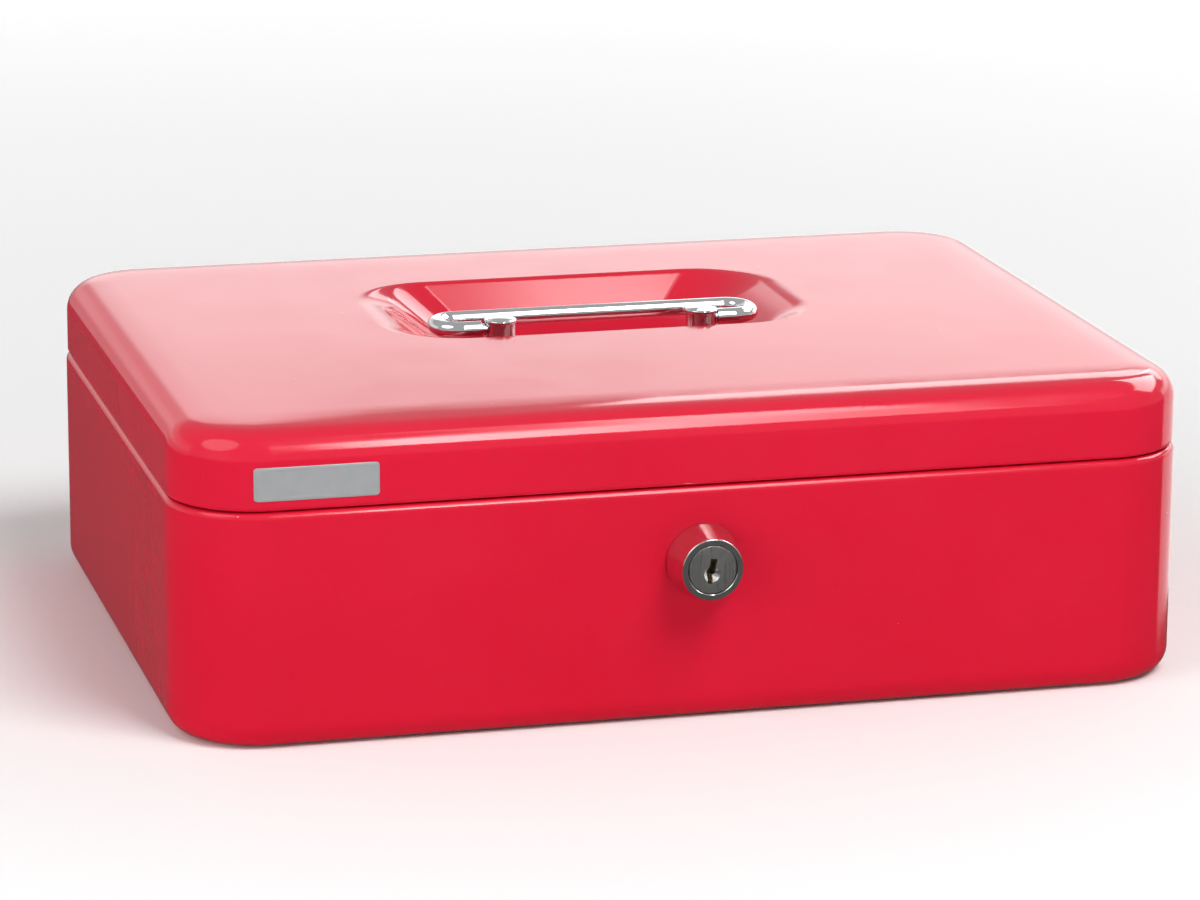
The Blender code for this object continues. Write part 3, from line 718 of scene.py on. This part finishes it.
def make_plug():
    face = HALF_DEPTH + LOCK_REACH - 0.0002
    neck = HALF_DEPTH + LOCK_REACH - PLUG_HEAD_DEPTH
    profile = [
        (0, face),
        (PLUG_HEAD_RADIUS - 0.00025, face),
        (PLUG_HEAD_RADIUS - 0.00008, face - 0.00008),
        (PLUG_HEAD_RADIUS, face - 0.00025),
        (PLUG_HEAD_RADIUS, neck),
        (PLUG_RADIUS, neck),
        (PLUG_RADIUS, BARREL_END),
        (0, BARREL_END),
    ]
    plug = turned("key_plug", profile, sides=128)
    tail_end = CAM_BACK + GAP
    tail = box("plug_tail", (-TAIL_HALF, -TAIL_HALF, tail_end), (TAIL_HALF, TAIL_HALF, BARREL_END + 0.001))
    stem = prism("keyway", KEYWAY_OUTLINE, BARREL_END + 0.004, face + 0.001)
    sink = cylinder("keyway_sink", 0.0006, face - 0.0016, face + 0.0002, end_radius=0.0026)
    thread = cylinder("cam_thread", 0.0019, tail_end - 0.001, BARREL_END + 0.001, sides=32)
    slots = []
    for index in range(WAFER_COUNT):
        half_x, half_z = WAFER_SIZE[0] / 2 + GAP, WAFER_SIZE[2] / 2 + GAP
        depth = HALF_DEPTH + 0.0055 - WAFER_PITCH * index
        slots.append(box("wafer_slot", (-half_x, -0.009, depth - half_z), (half_x, 0.009, depth + half_z)))
    lock_place(plug, tail, stem, thread, *slots)
    place([sink], (-0.0002, 0, LOCK_AT.z - 0.0013), (90, 0, 0))
    join(plug, tail)
    cut(plug, stem, sink, thread, *slots)
    helpers = [tail, stem, sink, thread, *slots]
    finish_piece(plug, "lock", "lock_plug", NICKEL_PLUG, bevel=0.00008, helpers=helpers)


# Small fittings, rounded off from the solid model's own shapes.


def polished_copy(node, name, body, paint, bevel):
    """The node's own shape with its edges rounded, as a new piece in its place."""
    shape = bmesh.new()
    shape.from_mesh(frame["nodes"][node].data)
    bmesh.ops.remove_doubles(shape, verts=shape.verts, dist=0.000005)
    bmesh.ops.dissolve_limit(shape, angle_limit=math.radians(2), verts=shape.verts, edges=shape.edges)
    copy = from_bmesh(name, shape)
    finish_piece(copy, body, node, paint, bevel=bevel)


def make_fittings():
    for side in ("left", "right"):
        polished_copy(f"post_washer_{side}", f"washer_{side}", "lid", ZINC, 0.00015)
        polished_copy(f"post_nut_{side}", f"nut_{side}", "lid", ZINC, 0.00025)
        for half, red in (("lid", RED_LID), ("body", RED_BODY)):
            node = f"hinge_{side}_{half}_leaf"
            polished_copy(node, f"{half}_leaf_{side}", half, red, 0.00020)
        polished_copy(f"hinge_{side}_pin", f"pin_{side}", "body", ZINC, 0.00025)
        polished_copy(f"tray_ledge_{side}", f"ledge_{side}", "body", RED_BODY, 0.00025)
    polished_copy("lid_keeper", "keeper", "lid", ZINC, 0.00025)
    polished_copy("lock_washer", "case_washer", "body", ZINC, 0.00015)
    polished_copy("lock_nut", "case_nut", "body", ZINC, 0.00035)
    polished_copy("lock_cam", "cam", "lock", ZINC, 0.00025)
    polished_copy("cam_screw", "screw", "lock", ZINC, 0.00012)
    for index in range(1, WAFER_COUNT + 1):
        polished_copy(f"lock_wafer_{index}", f"wafer_{index}", "lock", BRASS, 0.00008)


# Coin tray.


def rounded_box(name, low, high, radius):
    """A box with its upright and lower edges rounded."""
    made = box(name, low, high)
    shape = bmesh.new()
    shape.from_mesh(made.data)
    top = max(high[2], low[2])
    edges = [edge for edge in shape.edges if any(vert.co.z < top - 1e-6 for vert in edge.verts)]
    bmesh.ops.bevel(shape, geom=edges, offset=radius, segments=8, profile=0.5, affect="EDGES")
    shape.to_mesh(made.data)
    shape.free()
    return made


def row_wells(count, row, name):
    """Cutters for a row of equal compartments along X."""
    pitch = (2 * WELL_HALF_LENGTH + WELL_DIVIDER) / count
    front, back = row
    wells = []
    for index in range(count):
        left = pitch * index - WELL_HALF_LENGTH
        right = left + pitch - WELL_DIVIDER
        over_lock = left < LOCK_ROOM[1] and right > LOCK_ROOM[0] and front < LOCK_ROOM[2]
        low = (left, LOCK_ROOM[2] + 0.004 if over_lock else front, TRAY_BOTTOM + TRAY_WALL)
        wells.append(rounded_box(f"{name}_well_{index + 1}", low, (right, back, TRAY_TOP + 0.01), 0.007))
    return wells


def row_block(name, row):
    """The solid that a row's wells are cut from."""
    half = WELL_HALF_LENGTH + TRAY_WALL
    low = (-half, row[0] - TRAY_WALL, TRAY_BOTTOM)
    return rounded_box(name, low, (half, row[1] + TRAY_WALL, TRAY_TOP - 0.0005), 0.006)


def make_tray():
    rings = [ring(*TRAY_HALF, TRAY_CORNER, height) for height in (TRAY_TOP - TRAY_LIP, TRAY_TOP)]
    tray = skin("tray_moulding", rings, first=True, last=True)
    blocks = [row_block("coin_block", COIN_ROW), row_block("note_block", NOTE_ROW)]
    left, right, back = LOCK_ROOM
    room = box("lock_room", (left, -HALF_DEPTH, TRAY_BOTTOM - 0.01), (right, back, TRAY_TOP + 0.01))
    cutters = [*row_wells(5, COIN_ROW, "coin"), *row_wells(3, NOTE_ROW, "note"), room]
    join(tray, *blocks)
    cut(tray, *cutters)
    helpers = blocks + cutters
    finish_piece(tray, "tray", "coin_tray", PLASTIC, 0.0005, sharp=40, helpers=helpers)


# Studio. Angles are in degrees, and azimuth 0 is in front of the lock.

CAMERA_AZIMUTH = -14.9396
CAMERA_ELEVATION = 14.5970
CAMERA_ROLL = 0.3651
CAMERA_DISTANCE = 1.494312
CAMERA_TARGET = Vector((0, 0, 0.045))
CAMERA_ASIDE = -0.0003931
CAMERA_RISE = 0.0058979
CAMERA_LENS = 146.847

# What the lights face.
STUDIO_MIDDLE = Vector((0, 0, 0.06))

# Radiances. A pair is the two ends of a fade.
WORLD = (0.09, 0.13)
ROOM = 0.45
SURROUND = 0.97
KEY_SIDES = (14.0, 4.0)
KEY_TIP = (2.0, 8.6)
SWEEP_RIGHT = (1.75, 2.15)
SWEEP_LEFT = 0.55
SWEEP_FADE = 0.8
SWEEP_FOOT = 0.55
SWEEP_TOP = 0.3
# The floor's painted glow: near the box, and far out.
FLOOR_GLOW_NEAR = (0.0, 0.16)
FLOOR_GLOW_FAR = 0.72


def direction(azimuth, elevation):
    """A unit vector: azimuth 0 is in front of the lock and 90 to its right."""
    a, e = math.radians(azimuth), math.radians(elevation)
    return Vector((math.sin(a) * math.cos(e), -math.cos(a) * math.cos(e), math.sin(e)))


def make_camera():
    back = direction(CAMERA_AZIMUTH, CAMERA_ELEVATION)
    aside = Vector((0, 0, 1)).cross(back).normalized()
    up = back.cross(aside)
    roll = math.radians(CAMERA_ROLL)
    across = aside * math.cos(roll) + up * math.sin(roll)
    above = up * math.cos(roll) - aside * math.sin(roll)
    data = bpy.data.cameras.new("camera")
    data.lens = CAMERA_LENS
    data.sensor_width = 36
    data.clip_start = 0.05
    data.clip_end = 60
    camera = link(bpy.data.objects.new("camera", data))
    at = CAMERA_TARGET + aside * CAMERA_ASIDE + up * CAMERA_RISE + back * CAMERA_DISTANCE
    turn = Matrix((across, above, back)).transposed()
    camera.matrix_world = Matrix.Translation(at) @ turn.to_4x4()
    bpy.context.scene.camera = camera


def softbox(name, at, width, height, radiance, shape="RECTANGLE", glossy=True, diffuse=True):
    """An area light that faces the box, unseen by the camera, at an azimuth, elevation and distance."""
    azimuth, elevation, distance = at
    data = bpy.data.lights.new(name, "AREA")
    data.shape = shape
    data.size, data.size_y = width, height
    area = width * height * (math.pi / 4 if shape == "ELLIPSE" else 1)
    data.energy = radiance * math.pi * area
    light = link(bpy.data.objects.new(name, data))
    towards = direction(azimuth, elevation)
    light.location = STUDIO_MIDDLE + towards * distance
    light.rotation_mode = "QUATERNION"
    light.rotation_quaternion = towards.to_track_quat("Z", "Y")
    light.visible_camera = False
    light.visible_glossy = glossy
    light.visible_diffuse = diffuse


def emitter(name):
    """A material of plain light, its node tree, and the emission node whose strength is still to be set."""
    m = bpy.data.materials.new(name)
    m.use_nodes = True
    tree = m.node_tree
    tree.nodes.clear()
    glow = tree.nodes.new("ShaderNodeEmission")
    out = tree.nodes.new("ShaderNodeOutputMaterial")
    tree.links.new(glow.outputs[0], out.inputs["Surface"])
    return m, tree, glow


def ramp_along(tree, source, low, high, to_low, to_high, smooth=False):
    """The source turned into a fade between two values."""
    ramp = tree.nodes.new("ShaderNodeMapRange")
    if smooth:
        ramp.interpolation_type = "SMOOTHSTEP"
    for key, value in (("From Min", low), ("From Max", high), ("To Min", to_low), ("To Max", to_high)):
        ramp.inputs[key].default_value = value
    tree.links.new(source, ramp.inputs["Value"])
    return ramp.outputs["Result"]


def product(tree, first, second):
    """Two numbers multiplied."""
    node = tree.nodes.new("ShaderNodeMath")
    node.operation = "MULTIPLY"
    tree.links.new(first, node.inputs[0])
    tree.links.new(second, node.inputs[1])
    return node.outputs[0]


def coordinates(tree, output="Object"):
    """The x, y and z of a point."""
    coords = tree.nodes.new("ShaderNodeTexCoord")
    split = tree.nodes.new("ShaderNodeSeparateXYZ")
    tree.links.new(coords.outputs[output], split.inputs[0])
    return split.outputs


def faded(tree, share, start, end):
    """A number that goes from start to end with the share. Each may be a number or a socket."""
    node = tree.nodes.new("ShaderNodeMix")
    tree.links.new(share, node.inputs["Factor"])
    for socket, value in ((node.inputs["A"], start), (node.inputs["B"], end)):
        if isinstance(value, float):
            socket.default_value = value
        else:
            tree.links.new(value, socket)
    return node.outputs["Result"]


def make_floor():
    """A pale paper floor with painted light: it glows, not at all near the box and more further out, which
    leaves the floor around the box darker.
    """
    shape = bmesh.new()
    bmesh.ops.create_circle(shape, cap_ends=True, segments=96, radius=9.0)
    floor = from_bmesh("floor", shape)
    m = Nodes("pale_floor_with_painted_glow")
    m.set(Roughness=0.85, Specular_IOR_Level=0.2)
    tone = m.mixed(m.noise(3, 3), (0.90, 0.90, 0.90), (0.93, 0.93, 0.93))
    m.link(tone, m.shader.inputs["Base Color"])
    # Painted light: the floor glows, none within 0.13 m of the middle, rising out to 2 m, so only the floor
    # near the box keeps its shade.
    m.set(Emission_Color=(1, 1, 1, 1))
    away = m.new("ShaderNodeVectorMath", operation="LENGTH")
    m.link(m.coords, away.inputs[0])
    near_glow = ramp_along(m.tree, away.outputs["Value"], 0.13, 0.40, *FLOOR_GLOW_NEAR)
    far_glow = ramp_along(m.tree, away.outputs["Value"], 0.40, 2.0, 0.0, FLOOR_GLOW_FAR)
    both = m.new("ShaderNodeMath", operation="ADD")
    m.link(near_glow, both.inputs[0])
    m.link(far_glow, both.inputs[1])
    m.link(both.outputs[0], m.shader.inputs["Emission Strength"])
    m.bumps((m.noise(800, 2), 0.00002))
    floor.data.materials.append(m.material)
    floor.visible_glossy = False


def make_backdrop():
    """A plain white surround that only the camera sees."""
    shape = bmesh.new()
    bmesh.ops.create_uvsphere(shape, u_segments=48, v_segments=24, radius=12.0)
    dome = from_bmesh("backdrop", shape)
    m, _, glow = emitter("white_surround")
    glow.inputs["Strength"].default_value = SURROUND
    dome.data.materials.append(m)
    dome.visible_diffuse = False
    dome.visible_glossy = False
    dome.visible_transmission = False
    dome.visible_shadow = False


def hide_from_view(obj):
    """Keeps a light panel out of the picture and out of the shadows."""
    obj.visible_camera = False
    obj.visible_shadow = False


def make_key_strip():
    """The main softbox: a strip leaning to the right, brightest along its left side, seen only in gloss."""
    # Azimuth and elevation of each corner.
    outline = ((8.5, 28), (24, 28), (27, 40), (44.5, 64), (46, 73), (25, 73), (25.5, 65), (10, 46))
    shape = bmesh.new()
    corners = [STUDIO_MIDDLE + direction(*corner) * 1.7 for corner in outline]
    shape.faces.new([shape.verts.new(corner) for corner in corners])
    strip = from_bmesh("key_strip", shape)
    m, tree, glow = emitter("key_face")
    x, _, z = coordinates(tree)
    upward = ramp_along(tree, z, 1.25, 1.45, 0.0, 1.0, smooth=True)
    sides = ramp_along(tree, x, 0.29, 0.52, *KEY_SIDES)
    tip = ramp_along(tree, x, 0.345, 0.41, *KEY_TIP, smooth=True)
    tree.links.new(faded(tree, upward, sides, tip), glow.inputs["Strength"])
    strip.data.materials.append(m)
    strip.visible_diffuse = False
    hide_from_view(strip)


def make_sweep():
    """A lit white sweep behind and to the right of the box, unseen by the camera."""
    start, end, radius, steps = 100, 262, 3.2, 81
    right_end, right_foot, left_foot, top = 163, -0.9, -0.15, 1.53
    shape = bmesh.new()
    columns = []
    for step in range(steps + 1):
        angle = start + (end - start) * step / steps
        heights = (right_foot if angle < right_end else left_foot, top)
        out = direction(angle, 0)
        columns.append([shape.verts.new(out * radius + Vector((0, 0, z))) for z in heights])
    for first, second in zip(columns, columns[1:]):
        shape.faces.new((first[0], first[1], second[1], second[0]))
    sweep = from_bmesh("sweep", shape)
    m, tree, glow = emitter("sweep_light")
    x, _, z = coordinates(tree)
    top_right = ramp_along(tree, x, 0.50, 0.62, 0.0, 1.0, smooth=True)
    fades = [
        ramp_along(tree, x, 0.2, 2.0, *SWEEP_RIGHT),
        ramp_along(tree, x, -0.25, 0.25, SWEEP_LEFT, 1.0, smooth=True),
        ramp_along(tree, z, 0.78, 0.95, 1.0, SWEEP_FADE, smooth=True),
        ramp_along(tree, z, 0.25, 0.60, SWEEP_FOOT, 1.0, smooth=True),
        faded(tree, top_right, 1.0, ramp_along(tree, z, 0.93, 1.03, 1.0, SWEEP_TOP)),
    ]
    strength = fades[0]
    for fade in fades[1:]:
        strength = product(tree, strength, fade)
    tree.links.new(strength, glow.inputs["Strength"])
    sweep.data.materials.append(m)
    hide_from_view(sweep)


def make_room():
    """The dim room above the horizon, seen only in gloss."""
    shape = bmesh.new()
    bmesh.ops.create_uvsphere(shape, u_segments=48, v_segments=24, radius=7.0)
    below = [vert for vert in shape.verts if vert.co.z < -0.01]
    bmesh.ops.delete(shape, geom=below, context="VERTS")
    room = from_bmesh("room_glow", shape)
    m, tree, glow = emitter("room_light")
    glow.inputs["Strength"].default_value = ROOM
    room.data.materials.append(m)
    room.visible_diffuse = False
    hide_from_view(room)


def make_world():
    """Dim room light: greyer above, dark below the horizon."""
    world = bpy.data.worlds.new("room")
    bpy.context.scene.world = world
    world.use_nodes = True
    tree = world.node_tree
    shade = tree.nodes["Background"]
    z = coordinates(tree, "Generated")[2]
    tree.links.new(ramp_along(tree, z, -0.05, 0.10, *WORLD, smooth=True), shade.inputs["Strength"])
    shade.inputs["Color"].default_value = (1, 1, 1, 1)


def make_studio():
    make_world()
    make_floor()
    make_backdrop()
    make_sweep()
    make_key_strip()
    make_room()
    softbox("key", (27, 54, 1.7), 0.8, 0.8, 10.4, glossy=False)
    softbox("side_fill", (-60, 12, 2.0), 1.2, 0.8, 3.9, glossy=False)
    softbox("umbrella", (-69, 46, 1.6), 1.1, 1.1, 1.7, shape="ELLIPSE")
    softbox("rim_back", (156.2, 22, 2.4), 0.62, 0.34, 2.7, diffuse=False)
    softbox("rim_side", (137, 21, 2.4), 1.02, 0.34, 3.4, diffuse=False)
    softbox("rim_top", (110, 40, 2.4), 2.1, 1.0, 6.5, diffuse=False)
    bpy.context.scene.view_settings.view_transform = "Standard"


def main():
    make_camera()
    make_body_shell()
    make_lid_shell()
    make_label()
    make_bail()
    make_post(-1, "left")
    make_post(1, "right")
    make_lock_case()
    make_plug()
    make_fittings()
    make_tray()
    make_studio()


main()
